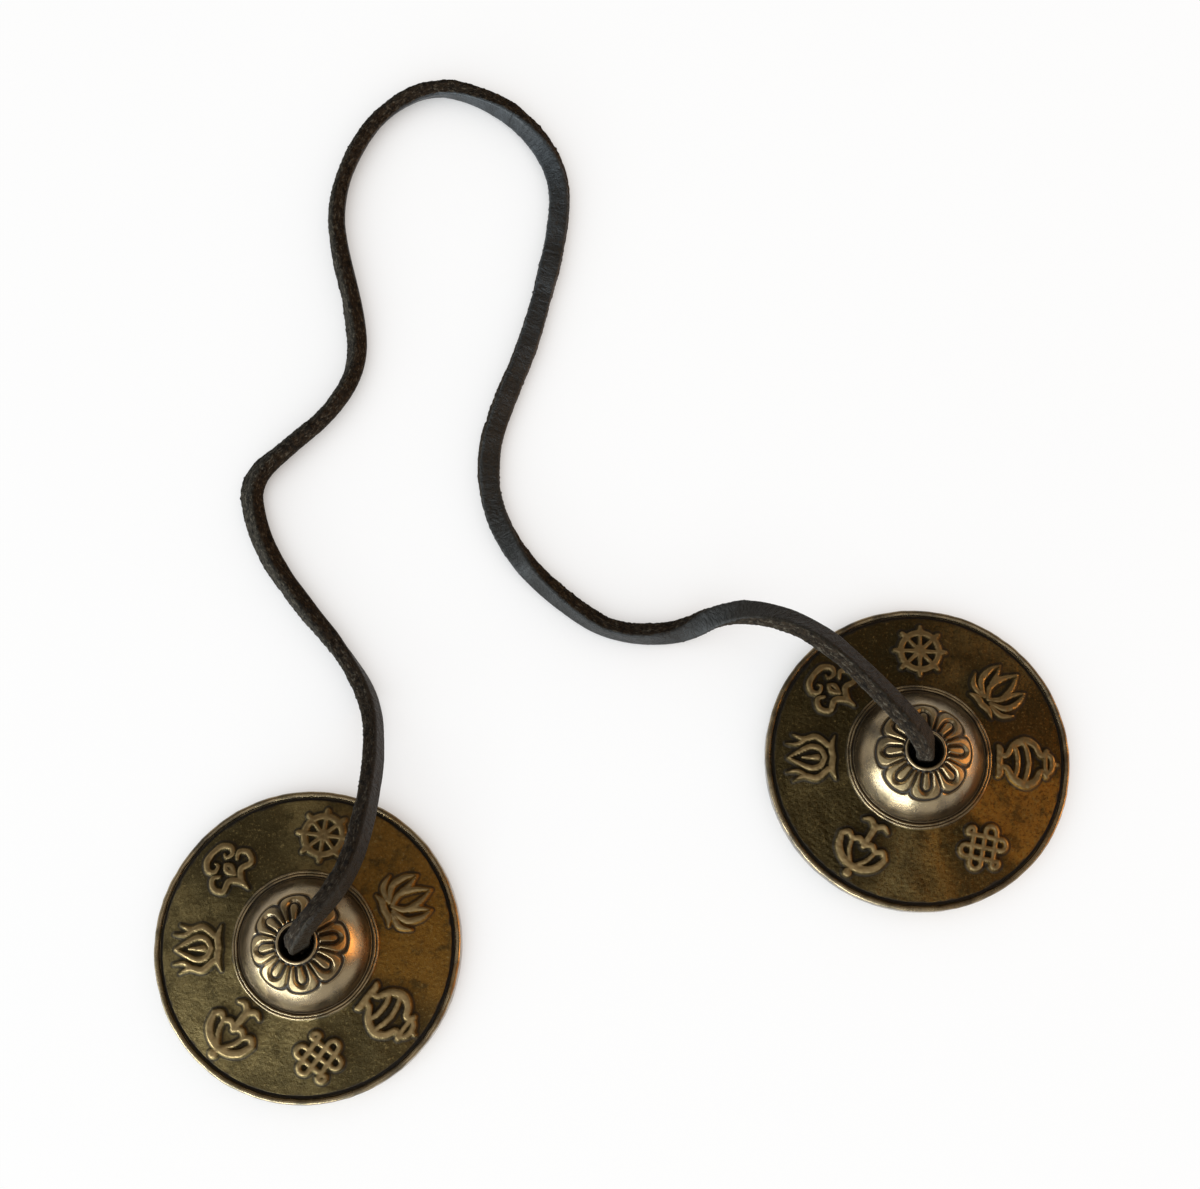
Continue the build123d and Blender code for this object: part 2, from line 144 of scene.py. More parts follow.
# Stopper knot route in millimetres from the bore axis
KNOT_ROUTE = (
    (0, 0, 13.2), (0, 0, 10.0), (0.4, -0.6, 6.6), (2.2, -2.6, 4.3), (4.4, -0.6, 4.9), (3.9, 2.9, 7.0),
    (0.4, 4.3, 8.4), (-3.3, 2.8, 8.7), (-4.1, -1.0, 8.1), (-1.9, -4.0, 7.3), (1.6, -4.0, 6.4),
    (2.4, -0.4, 4.3), (1.6, 3.2, 4.0), (3.0, 6.2, 4.3), (4.2, 8.6, 4.6),
)
KNOT_TWIST = (-40, -40, -30, 10, 60, 90, 90, 90, 90, 90, 80, 40, 10, 0, -10)
KNOT_TURNS = {"left": 200, "right": -30}
KNOT_STEPS, KNOT_SEED, KNOT_LEAN, KNOT_PULL = 12, 31, 0.3, 0.86

# Camera at the photograph's viewing angle: angles in degrees, distance and target in millimetres
CAMERA_TURN, CAMERA_TILT, CAMERA_ROLL = -11.30, 13.29, -5.68
CAMERA_DISTANCE, CAMERA_TARGET = 392.4, (13.4, 55.4, 0)

# Soft lamps: place and size in metres, and colour
LAMP_TARGET = (0.0, 0.05, 0.0)
LAMPS = {
    "key": ((-0.74, -0.5, 0.15), (1.2, 0.32), (0.86, 0.95, 1.0)),
    "warm": ((0.7, -0.16, 0.15), (0.5, 0.28), (1.0, 0.45, 0.1)),
    "top": ((-0.1, -0.3, 1.1), (0.8, 0.8), (1.0, 0.98, 0.95)),
}

# Floor in metres, how white it shows where nothing shades it, and how far from the object its white fades by
# ambient occlusion, a partly painted contact shade
FLOOR_R, FLOOR_SIDES, FLOOR_WHITE, SHADE_REACH = 3, 96, 0.94, 0.03

# Room round the table: the way to its bright side, and the walls and ceiling on the dim and bright side
BRIGHT_SIDE = (-0.88, -0.48, 0)
WALLS = (0.41, 0.33, 0.23), (1.15, 1.22, 1.28)
CEILING = (0.235, 0.205, 0.17), (0.46, 0.47, 0.48)
WHITE = (1, 1, 1)


class CymbalSettings(bpy.types.PropertyGroup):
    """Relief and colours of the two cymbals"""

    ornament_relief: FloatProperty(
        name="Ornament relief", description="How far the flange ornaments stand proud",
        default=0.85 * MM, unit="LENGTH", precision=5)
    petal_relief: FloatProperty(
        name="Petal relief", description="How far the lotus petals stand proud of the dome",
        default=0.5 * MM, unit="LENGTH", precision=5)
    outline_depth: FloatProperty(
        name="Outline depth", description="Depth of the line cut round the lotus",
        default=0.28 * MM, unit="LENGTH", precision=5)
    left_patina: FloatVectorProperty(
        name="Left patina", description="Colour of the left flange", subtype="COLOR", size=3,
        default=(0.138, 0.103, 0.043), min=0, max=1)
    right_patina: FloatVectorProperty(
        name="Right patina", description="Colour of the right flange", subtype="COLOR", size=3,
        default=(0.093, 0.066, 0.0255), min=0, max=1)
    # Amber tone on one side of each flange: partly patina, partly a painted warm reflection
    amber: FloatVectorProperty(
        name="Amber tone and painted warm reflection", description="Warmer tone on one side of each flange, partly patina and partly painted warm reflection", subtype="COLOR", size=3,
        default=(0.19, 0.096, 0.018), min=0, max=1)
    worn_metal: FloatVectorProperty(
        name="Worn metal", description="Bare bronze where hands have rubbed it", subtype="COLOR", size=3,
        default=(0.285, 0.202, 0.094), min=0, max=1)
    bell_metal: FloatVectorProperty(
        name="Bell metal", description="Paler polished bronze of the dome and the beads", subtype="COLOR",
        size=3, default=(0.25, 0.182, 0.092), min=0, max=1)
    crevice: FloatVectorProperty(
        name="Crevice", description="Soot and wax left in the recesses", subtype="COLOR", size=3,
        default=(0.016, 0.011, 0.006), min=0, max=1)


class LaceSettings(bpy.types.PropertyGroup):
    """Size and colours of the lace"""

    width: FloatProperty(
        name="Width", description="Width of the grain side", default=4.6 * MM, unit="LENGTH", precision=5)
    thickness: FloatProperty(
        name="Thickness", description="Thickness of the leather", default=3.6 * MM, unit="LENGTH",
        precision=5)
    grain_corner: FloatProperty(
        name="Grain corner", description="Rounding of the edges beside the grain side", default=0.65 * MM,
        unit="LENGTH", precision=5)
    flesh_corner: FloatProperty(
        name="Flesh corner", description="Rounding of the edges beside the flesh side", default=1.1 * MM,
        unit="LENGTH", precision=5)
    grain: FloatVectorProperty(
        name="Grain side", description="Smooth outer side of the hide", subtype="COLOR", size=3,
        default=(0.024, 0.028, 0.031), min=0, max=1)
    flesh: FloatVectorProperty(
        name="Flesh side", description="Suede inner side of the hide", subtype="COLOR", size=3,
        default=(0.026, 0.022, 0.016), min=0, max=1)
    handled: FloatVectorProperty(
        name="Handled end", description="Grain side darkened by hands near the cymbals", subtype="COLOR",
        size=3, default=(0.016, 0.012, 0.0065), min=0, max=1)
    cut: FloatVectorProperty(
        name="Cut edges", description="Dyed edges where the lace was cut", subtype="COLOR", size=3,
        default=(0.024, 0.016, 0.009), min=0, max=1)


class StageSettings(bpy.types.PropertyGroup):
    """Camera, floor and light"""

    lens: FloatProperty(
        name="Lens", description="Focal length on a 36 mm sensor, in millimetres", default=53.01)
    key_power: FloatProperty(
        name="Key light", description="Power of the soft light at the front left", default=18.0, unit="POWER")
    warm_power: FloatProperty(
        name="Warm light", description="Power of the warm light at the right", default=2.4, unit="POWER")
    top_power: FloatProperty(
        name="Top light", description="Power of the soft light overhead", default=1.6, unit="POWER")
    floor_colour: FloatVectorProperty(
        name="Floor", description="Colour of the floor", subtype="COLOR", size=3, default=(0.9, 0.9, 0.9),
        min=0, max=1)


class Field:
    """A value on its way through a shader. Arithmetic on it adds Math nodes."""

    def __init__(self, finish, socket):
        self.finish = finish
        self.socket = socket

    def maths(self, operation, first, second):
        return self.finish.node("ShaderNodeMath", {"operation": operation}, {0: first, 1: second})

    def __add__(self, other):
        return self.maths("ADD", self, other)

    def __sub__(self, other):
        return self.maths("SUBTRACT", self, other)

    def __rsub__(self, other):
        return self.maths("SUBTRACT", other, self)

    def __mul__(self, other):
        return self.maths("MULTIPLY", self, other)

    __radd__ = __add__
    __rmul__ = __mul__


class Finish:
    """One node tree and the ways to add to it."""

    def __init__(self, tree):
        self.tree = tree
        tree.nodes.clear()

    def node(self, kind, settings=None, sockets=None, output=0):
        """Adds a node, sets it up, feeds its sockets and gives one of its outputs."""
        made = self.tree.nodes.new(kind)
        for name, value in (settings or {}).items():
            setattr(made, name, value)
        for name, value in (sockets or {}).items():
            if isinstance(value, Field):
                self.tree.links.new(value.socket, made.inputs[name])
            else:
                made.inputs[name].default_value = value
        return Field(self, made.outputs[output]) if made.outputs else None

    def noise(self, place, scale, detail, rough):
        """Noise between 0 and 1 with its middle at a half."""
        return self.node("ShaderNodeTexNoise", None, {
            "Vector": place, "Scale": scale, "Detail": detail, "Roughness": rough})

    def step(self, value, low, high):
        """Rises smoothly from 0 at low to 1 at high."""
        return self.node("ShaderNodeMapRange", {"interpolation_type": "SMOOTHSTEP"}, {
            "Value": value, "From Min": low, "From Max": high, "To Min": 0.0, "To Max": 1.0})

    def mix(self, share, first, second):
        """Colour between two colours."""
        return self.node("ShaderNodeMix", {"data_type": "RGBA"}, {
            0: share, 6: as_colour(first), 7: as_colour(second)}, 2)

    def attribute(self, name, output=2):
        """Value, or vector as output 1, that a mesh carries at its points."""
        return self.node("ShaderNodeAttribute", {"attribute_name": name}, None, output)

    def stretched(self, vector, x, y, z):
        """A vector with each part multiplied."""
        return self.node("ShaderNodeVectorMath", {"operation": "MULTIPLY"}, {0: vector, 1: (x, y, z)})

    def seen(self):
        """1 where the camera looks, straight or by way of metal or glass."""
        rays = (self.node("ShaderNodeLightPath", None, None, output) for output in (0, 3, 6))
        camera, glossy, transmission = rays
        return camera + glossy + transmission

    def surface(self, **sockets):
        """Principled surface as the tree's output."""
        named = {name.replace("_", " "): value for name, value in sockets.items()}
        named["Base Color"] = as_colour(named["Base Color"])
        shader = self.node("ShaderNodeBsdfPrincipled", None, named)
        self.node("ShaderNodeOutputMaterial", None, {"Surface": shader})


def as_colour(value):
    """Colour with full alpha, or the field as it is."""
    return value if isinstance(value, Field) else (*value[:3], 1.0)


def new_material(name):
    """Material and its empty node tree."""
    material = bpy.data.materials.new(name)
    material.use_nodes = True
    return material, Finish(material.node_tree)


def shade(colour, by):
    """Colour made darker or lighter."""
    return tuple(min(1.0, part * by) for part in colour)


def bronze(name, patina, pebbles, settings):
    """Cast bronze: granular dark patina, worn bright on the relief, black in the recesses; on the flange,
    painted shade and an amber tone that is partly a painted warm reflection.
    """
    material, f = new_material(name)
    place = f.node("ShaderNodeTexCoord", None, None, 3)
    worn, grime, polish = f.attribute("worn"), f.attribute("grime"), f.attribute("polish")
    clouds = f.noise(place, 70, 4, 0.6)
    stains = f.noise(place, 300, 5, 0.7)
    grit = f.noise(place, 1700, 4, 0.7)
    pits = f.noise(place, 4200, 2, 0.6)
    amber, dusk = f.attribute("amber"), f.attribute("dusk")
    field = f.mix(f.step(clouds, 0.35, 0.68), shade(patina, 0.6), shade(patina, 1.3))
    # Amber tone on one side of the flange: partly patina, partly a painted warm reflection
    field = f.mix(f.step(amber + (clouds - 0.5) + (stains - 0.5) * 0.5, 0.1, 1.1), field, settings.amber)
    # Painted shade: darker patches of the flange, in a darker patina colour
    field = f.mix(f.step(dusk + (clouds - 0.5) * 0.9, 0.25, 0.95) * 0.75, field, shade(patina, 0.3))
    field = f.mix(f.step(stains, 0.48, 0.68) * 0.75, field, shade(patina, 0.34))
    field = f.mix(f.step(grit, 0.55, 0.7) * 0.55, field, shade(patina, 2.1))
    field = f.mix((1 - f.step(grit, 0.36, 0.48)) * 0.7 * pebbles, field, shade(patina, 0.3))
    rubbed = f.step(worn + (stains - 0.5) * 0.45 + (grit - 0.5) * 0.35, 0.2, 0.8)
    bright = f.mix(f.step(stains, 0.35, 0.7), shade(settings.worn_metal, 0.74), settings.worn_metal)
    bright = f.mix(polish, bright, settings.bell_metal)
    colour = f.mix(rubbed, field, bright)
    soot = f.step(grime + (grit - 0.5) * 0.4, 0.2, 0.75)
    colour = f.mix(soot, colour, settings.crevice)
    roughness = 0.52 - rubbed * 0.15 - polish * 0.15 + soot * 0.25 + (grit - 0.5) * 0.25
    cast = grit * 0.65 + pits * 0.35
    bump = f.node("ShaderNodeBump", None, {
        "Height": cast * (1 - rubbed * 0.75), "Strength": 0.75, "Distance": 0.0003 * pebbles + 0.00012})
    f.surface(Base_Color=colour, Metallic=1 - soot * 0.5, Roughness=roughness, Normal=bump,
              Coat_Weight=polish * (1 - soot) * 0.8, Coat_Roughness=0.3)
    return material


def leather(settings):
    """Lace leather: smooth creased grain side, pitted fibrous flesh side and dyed cut edges."""
    material, f = new_material("lace_leather")
    place = f.attribute("lace_place", 1)
    through = f.node("ShaderNodeSeparateXYZ", None, {0: place}, 1)
    along = f.node("ShaderNodeSeparateXYZ", None, {0: place}, 2)
    ragged = f.noise(f.stretched(place, 1.0, 1.0, 0.6), 1.5, 5, 0.7)
    grain = f.step(through + (ragged - 0.5) * 1.1, 1.2, 1.5)
    flesh = f.step((ragged - 0.5) * 1.1 - through, 0.95, 1.45)
    clouds = f.noise(place, 0.2, 3, 0.5)
    fibres = f.noise(f.stretched(place, 1.0, 1.0, 0.6), 1.3, 6, 0.75)
    pits = f.noise(place, 0.75, 5, 0.7)
    fluff = f.noise(f.stretched(place, 1.3, 1.3, 0.5), 1.6, 5, 0.7)
    creases = f.node("ShaderNodeTexNoise", None, {
        "Vector": f.stretched(place, 0.45, 0.45, 0.8), "Scale": 0.85, "Detail": 5.0, "Roughness": 0.6,
        "Distortion": 1.6})
    scuffs = f.noise(f.stretched(place, 2.4, 2.4, 0.22), 0.9, 4, 0.6)
    cut = f.mix(f.step(fibres, 0.38, 0.66), shade(settings.cut, 0.45), shade(settings.cut, 1.6))
    cut = f.mix(f.step(fluff, 0.53, 0.61) * 0.75, cut, shade(settings.flesh, 3.8))
    suede = f.mix(f.step(fibres, 0.36, 0.64), shade(settings.flesh, 0.5), shade(settings.flesh, 1.5))
    suede = f.mix(f.step(fluff, 0.53, 0.61) * 0.75, suede, shade(settings.flesh, 4.2))
    smooth = f.mix(f.step(clouds, 0.35, 0.65), shade(settings.grain, 0.7), shade(settings.grain, 1.25))
    held = 1 - f.step(along, 150, 180)
    held = held + f.step(along, 315, 345) * 0.5 + f.step(along, 425, 450) * 0.5
    smooth = f.mix(held, smooth, settings.handled)
    # Painted shade: darker lines along the creases of the grain side
    smooth = f.mix(f.step(creases, 0.57, 0.7) * 0.7, smooth, shade(settings.grain, 0.35))
    smooth = f.mix(f.step(scuffs, 0.62, 0.74) * 0.45, smooth, shade(settings.grain, 2.6))
    colour = f.mix(f.step(pits, 0.53, 0.6) * 0.85, f.mix(flesh, cut, suede), shade(settings.cut, 0.2))
    colour = f.mix(grain, colour, smooth)
    roughness = 0.9 - grain * 0.42 + grain * (creases - 0.5) * 0.3
    height = grain * creases + (1 - grain) * (fibres * 0.7 + fluff * 0.6 - pits * 0.5)
    bump = f.node("ShaderNodeBump", None, {"Height": height, "Strength": 1.0, "Distance": 0.001})
    f.surface(Base_Color=colour, Roughness=roughness, Specular_IOR_Level=0.15, Normal=bump,
              Coat_Weight=grain * (1 - held) * 0.4, Coat_Roughness=0.4)
    return material


def ripple(places, wavelength, seed):
    """Smooth random field of about unit spread, from plane waves of near that wavelength."""
    draw = np.random.default_rng(seed)
    total = np.zeros(len(places))
    for _ in range(RIPPLE_WAVES):
        way = draw.normal(size=3)
        way *= 2 * math.pi / (np.linalg.norm(way) * wavelength * draw.uniform(0.7, 1.5))
        total += np.cos(places @ way + draw.uniform(0, 2 * math.pi))
    return total * math.sqrt(2 / RIPPLE_WAVES)


def rise(value, low, high):
    """Smooth step from 0 at low to 1 at high."""
    share = np.clip((value - low) / (high - low), 0, 1)
    return share * share * (3 - 2 * share)


def soft_least(first, second, rounding):
    """Lesser of two values, rounded where they meet."""
    share = np.clip(0.5 + (second - first) / (2 * rounding), 0, 1)
    return second + (first - second) * share - rounding * share * (1 - share)


def new_piece(name, points, faces, material):
    """Smooth mesh object from points in metres."""
    mesh = bpy.data.meshes.new(name)
    mesh.vertices.add(len(points))
    mesh.vertices.foreach_set("co", np.asarray(points, np.float32).ravel())
    sizes = np.array([len(face) for face in faces], np.int32)
    starts = np.concatenate(([0], np.cumsum(sizes)[:-1])).astype(np.int32)
    corners = np.concatenate([np.asarray(face, np.int32) for face in faces])
    mesh.loops.add(len(corners))
    mesh.loops.foreach_set("vertex_index", corners)
    mesh.polygons.add(len(faces))
    mesh.polygons.foreach_set("loop_start", starts)
    mesh.polygons.foreach_set("use_smooth", np.ones(len(faces), bool))
    mesh.update(calc_edges=True)
    if mesh.validate():
        raise RuntimeError(f"{name}: the mesh has broken faces")
    mesh.materials.append(material)
    piece = bpy.data.objects.new(name, mesh)
    bpy.context.scene.collection.objects.link(piece)
    return piece


def note(piece, name, values):
    """Point attribute that the material reads."""
    values = np.asarray(values, np.float32)
    kind = "FLOAT" if values.ndim == 1 else "FLOAT_VECTOR"
    made = piece.data.attributes.new(name, kind, "POINT")
    made.data.foreach_set("value" if values.ndim == 1 else "vector", values.ravel())


def grid_faces(rings, around):
    """Quads between rings of points."""
    ring, step = np.arange(rings - 1)[:, None], np.arange(around)[None, :]
    aside = (step + 1) % around
    quads = np.stack([ring * around + step, ring * around + aside, (ring + 1) * around + aside,
                      (ring + 1) * around + step], axis=-1)
    return quads.reshape(-1, 4)


def turned_faces(counts):
    """Faces of a closed turned piece, between rings of points whose counts may halve or double."""
    faces = []
    starts = np.concatenate(([0], np.cumsum(counts)))
    for here, count in enumerate(counts):
        there = (here + 1) % len(counts)
        step = np.arange(min(count, counts[there]))
        corners = []
        for ring, order in ((here, 1), (there, -1)):
            parts = counts[ring] // len(step)
            shares = range(parts + 1)[::order]
            corners += [starts[ring] + (step * parts + share) % counts[ring] for share in shares]
        faces.extend(np.stack(corners, axis=1))
    return faces


# Flange ornaments: strokes of (across, outward, width) points in millimetres

def stroke(*places):
    """Smooth stroke through (across, outward, width) places."""
    spots = np.array([places[0], *places, places[-1]], float)
    made = []
    for before, start, end, after in zip(spots, spots[1:], spots[2:], spots[3:]):
        for share in np.linspace(0, 1, 10, endpoint=False):
            made.append(0.5 * (2 * start + (end - before) * share
                               + (2 * before - 5 * start + 4 * end - after) * share**2
                               + (3 * start - before - 3 * end + after) * share**3))
    return np.array([*made, spots[-1]])


def hoop(across, outward, radius, width, start=0.0, end=360.0):
    """Round stroke."""
    angle = np.radians(np.linspace(start, end, 48))
    return np.stack([across + radius * np.cos(angle), outward + radius * np.sin(angle),
                     np.full(48, width)], axis=1)


def both_sides(strokes):
    """Strokes and their mirror images."""
    return strokes + [line * (-1, 1, 1) for line in strokes]


def wheel():
    """Wheel of eight spokes, with a knob at the end of each."""
    spokes = []
    for angle in np.radians(np.arange(0, 360, 45)):
        way = np.array((math.sin(angle), math.cos(angle)))
        spokes.append(stroke((*way * 1.2, 1.0), (*way * 4.0, 0.85)))
        spokes.append(stroke((*way * 4.4, 1.3), (*way * 5.5, 0.9)))
    return [hoop(0, 0, 4.1, 1.3), hoop(0, 0, 0.7, 1.3), *spokes]


def lotus():
    """Open lotus flower."""
    side = [
        stroke((0, -3.4, 0.9), (1.7, -1.2, 1.2), (1.5, 2.0, 1.2), (0, 5.4, 0.5)),
        stroke((1.0, -3.6, 0.9), (3.9, -1.8, 1.3), (4.6, 1.2, 1.2), (4.0, 3.9, 0.4)),
        stroke((4.0, 3.9, 0.4), (2.7, 1.6, 1.0), (2.3, -0.4, 0.8)),
        stroke((1.6, -4.0, 0.9), (4.4, -3.6, 1.2), (6.1, -1.5, 0.5)),
        stroke((0, -5.2, 1.4), (1.8, -5.0, 1.3), (3.4, -5.6, 0.6)),
    ]
    return both_sides(side)


def vase():
    """Vase with a lid."""
    side = [
        stroke((0, -6.0, 1.3), (2.4, -5.9, 1.4), (3.2, -6.3, 0.9)),
        stroke((1.1, -5.4, 1.1), (1.5, -4.3, 1.2), (3.6, -2.9, 1.4), (4.7, -0.4, 1.6), (3.8, 1.7, 1.4),
               (2.0, 2.7, 1.3), (1.8, 3.5, 1.2), (2.7, 4.2, 1.1)),
        stroke((0, 0.4, 1.1), (2.4, 0.0, 1.1), (4.4, -0.8, 0.9)),
        stroke((0, -2.0, 1.1), (1.8, -2.2, 1.1), (3.6, -2.9, 0.9)),
        stroke((0, 3.9, 1.0), (1.7, 4.0, 1.0), (2.7, 4.2, 1.1)),
        stroke((0, 5.5, 1.2), (1.3, 5.2, 1.2), (2.2, 4.3, 1.0)),
    ]
    return both_sides(side) + [stroke((0, 5.5, 1.2), (0, 6.7, 0.7))]


def endless_knot():
    """Lattice knot that stands on one corner."""
    reach, pitch, width = 3.5, 2.35, 1.05
    lines = []
    for offset in (-pitch, 0, pitch):
        lines.append(stroke((-reach, offset, width), (reach, offset, width)))
        lines.append(stroke((offset, -reach, width), (offset, reach, width)))
    for way in (1, -1):
        turn = 0 if way == 1 else 180
        lines.append(hoop(way * reach, -way * pitch / 2, pitch / 2, width, turn - 90, turn + 90))
        lines.append(hoop(-way * pitch / 2, way * reach, pitch / 2, width, turn, turn + 180))
        corner = way * (reach + pitch) / 2
        lines.append(hoop(corner, corner, (reach - pitch) * 0.7071, width, turn - 45, turn + 135))
    slant = np.array(((0.7071, 0.7071, 0), (-0.7071, 0.7071, 0), (0, 0, 1)))
    return [line @ slant for line in lines]


def parasol():
    """Parasol on its staff."""
    side = [
        stroke((0, 4.3, 1.5), (2.4, 3.7, 1.5), (4.4, 2.0, 1.5), (5.3, -0.5, 1.2)),
        stroke((5.3, -0.5, 1.2), (4.1, -1.6, 1.2), (2.8, -0.6, 1.0)),
        stroke((2.8, -0.6, 1.0), (1.5, -1.6, 1.2), (0, -0.7, 1.0)),
        stroke((0.3, 4.0, 0.9), (2.0, 1.9, 1.0), (2.8, -0.6, 0.9)),
        stroke((0, -5.0, 1.2), (1.5, -6.2, 1.2), (2.9, -5.6, 0.7)),
    ]
    return both_sides(side) + [stroke((0, -0.6, 1.2), (0, -5.4, 1.4)), hoop(0, 5.9, 0.35, 1.2)]


def flaming_jewel():
    """Jewel between flames."""
    side = [
        stroke((0, 4.6, 0.6), (1.3, 2.2, 1.0), (2.3, -0.2, 1.2), (1.8, -2.2, 1.2), (0, -3.2, 1.1)),
        stroke((2.6, -3.8, 1.2), (4.4, -1.4, 1.3), (4.0, 1.2, 1.1), (5.0, 3.6, 0.4)),
        stroke((4.1, 0.6, 1.0), (2.9, 2.6, 0.9), (3.1, 5.0, 0.4)),
        stroke((0, -4.9, 1.3), (2.2, -4.6, 1.3), (4.6, -5.4, 0.5)),
    ]
    return both_sides(side) + [stroke((0, 1.6, 0.6), (0, -1.6, 1.3))]


def cloud():
    """Cloud scroll."""
    side = [
        stroke((0, -5.8, 0.6), (0.2, -3.6, 1.2), (1.8, -1.8, 1.3), (4.2, -2.4, 1.2), (5.2, -0.4, 1.2),
               (4.0, 1.2, 1.1), (2.6, 0.4, 0.8)),
        stroke((0, 5.2, 1.2), (2.2, 4.8, 1.3), (3.4, 3.2, 1.2), (2.6, 1.9, 1.0), (1.2, 2.3, 0.8),
               (1.4, 3.2, 0.6)),
        stroke((0, -1.6, 1.0), (0.7, 0.2, 1.1), (0, 1.4, 0.8)),
    ]
    return both_sides(side)


ORNAMENTS = (wheel, lotus, vase, endless_knot, parasol, flaming_jewel, cloud)


def inside(strokes, across, outward):
    """How far each point lies inside the strokes, below 0 outside them."""
    deepest = np.full(len(across), -9.0)
    for line in strokes:
        start, way = line[:-1, :2], np.diff(line[:, :2], axis=0)
        size = np.maximum((way**2).sum(1), 1e-9)
        for (u0, v0), (du, dv), s, w0, w1 in zip(start, way, size, line[:-1, 2], line[1:, 2]):
            share = np.clip(((across - u0) * du + (outward - v0) * dv) / s, 0, 1)
            gap = np.hypot(across - u0 - share * du, outward - v0 - share * dv)
            np.maximum(deepest, (w0 + (w1 - w0) * share) * STROKE_SHARE - gap, out=deepest)
    return deepest


def profile():
    """Rings of a cymbal, once round its section: radius, height, zone and number of points."""
    rings = []

    def run(zone, count, step, *places):
        """Straight runs with their corners taken off."""
        for (r0, z0), (r1, z1) in zip(places, places[1:]):
            length = math.hypot(r1 - r0, z1 - z0)
            parts = max(2, round(length / step) + 1)
            ease = min(0.4, CORNER_EASE / length)
            for share in np.linspace(ease, 1 - ease, parts):
                rings.append((r0 + (r1 - r0) * share, z0 + (z1 - z0) * share, zone, count))

    def bow(zone, count, parts, radius, centre_r, centre_z, start, end):
        """Round run, angles from the outward direction up."""
        for angle in np.radians(np.linspace(start, end, parts)):
            place = centre_r + radius * math.cos(angle), centre_z + radius * math.sin(angle)
            rings.append((*place, zone, count))

    bore_bottom = math.degrees(math.acos(BORE_R / HOLLOW_R))
    hollow_foot = math.degrees(math.asin((HOLLOW_FOOT_Z - DOME_Z) / HOLLOW_R))
    bow("under", COARSE, 13, HOLLOW_R, 0, DOME_Z, bore_bottom - 0.4, hollow_foot)
    run("under", COARSE, 1.8, (HOLLOW_FOOT_R, HOLLOW_FOOT_Z), (FLARE_R, FLARE_Z), (REST_IN_R, UNDER_Z),
        (REST_IN_R, 0))
    run("rest", COARSE, 1.2, (REST_IN_R, 0), (REST_R, 0))
    run("rim", COARSE, 0.6, (REST_R, 0), (RIM_R, 0.5), (RIM_R, GROOVE_Z - 0.05))
    bow("rim", COARSE, 11, (RIM_R - GROOVE_R) / 2, (RIM_R + GROOVE_R) / 2, GROOVE_Z, 8, 172)
    run("groove", COARSE, 0.3, (GROOVE_R, GROOVE_Z), (FIELD_OUT_R, GROOVE_Z), (FIELD_OUT_R, FIELD_OUT_Z))
    run("field", FINE, 0.21, (FIELD_OUT_R, FIELD_OUT_Z), (FIELD_IN_R, FIELD_IN_Z))
    for radius, middle, foot in COLLAR_BEADS:
        bow("collar", COARSE, 9, radius, middle, foot, 0, 180)
        run("step", COARSE, 0.1, (middle - radius, foot), (middle - radius, foot - 0.06))
    dome_foot = math.degrees(math.acos(DOME_FOOT_R / DOME_R))
    dome_top = math.degrees(math.acos(LIP_R / DOME_R))
    bow("dome", COARSE, 16, DOME_R, 0, DOME_Z, dome_foot + 0.4, 44)
    bow("dome", FINE, 56, DOME_R, 0, DOME_Z, 44.6, dome_top)
    bow("lip", COARSE, 9, (LIP_R - BORE_R) / 2, (LIP_R + BORE_R) / 2, LIP_FOOT_Z, 0, 180)
    run("bore", COARSE, 0.6, (BORE_R, LIP_FOOT_Z), (BORE_R, 12.6))
    return rings


def lotus_relief(x, y, turn, settings):
    """Height, wear and grime of the petals over a dome, from places about the bore axis."""
    radius, angle = np.hypot(x, y), np.degrees(np.arctan2(y, x)) - turn
    pitch = 360 / PETALS
    angle = np.radians((angle + pitch / 2) % pitch - pitch / 2)
    along, aside = radius * np.cos(angle), np.abs(radius * np.sin(angle))
    half = math.tan(math.pi / PETALS)
    head = ROSETTE_R - PETAL_BULGE * (aside / ((ROSETTE_R - PETAL_BULGE) * half)) ** 2
    petal = soft_least(along * half - PETAL_GAP / 2 - aside, head - along, 1.9)
    spread = np.clip((along - LIP_R) / (TONGUE_END - LIP_R), 0, 1)
    tongue_half = TONGUE_HALF[0] + (TONGUE_HALF[1] - TONGUE_HALF[0]) * spread
    tongue_end = TONGUE_END - 0.5 * (aside / TONGUE_HALF[1]) ** 2
    tongue = soft_least(tongue_half - aside, tongue_end - along, 0.7)
    ridge = np.maximum(np.minimum(petal, -tongue - CHANNEL), tongue)
    near_lip = rise(radius, LIP_R + 0.15, LIP_R + 0.5)
    body = rise(ridge, -0.14, 0.42) * near_lip
    line = (1 - rise(ridge, -0.26, 0.05)) * rise(petal, -0.62, -0.36)
    line = np.maximum(line, 1 - near_lip)
    height = body * settings.petal_relief / MM - line * settings.outline_depth / MM * near_lip
    return height, body, line


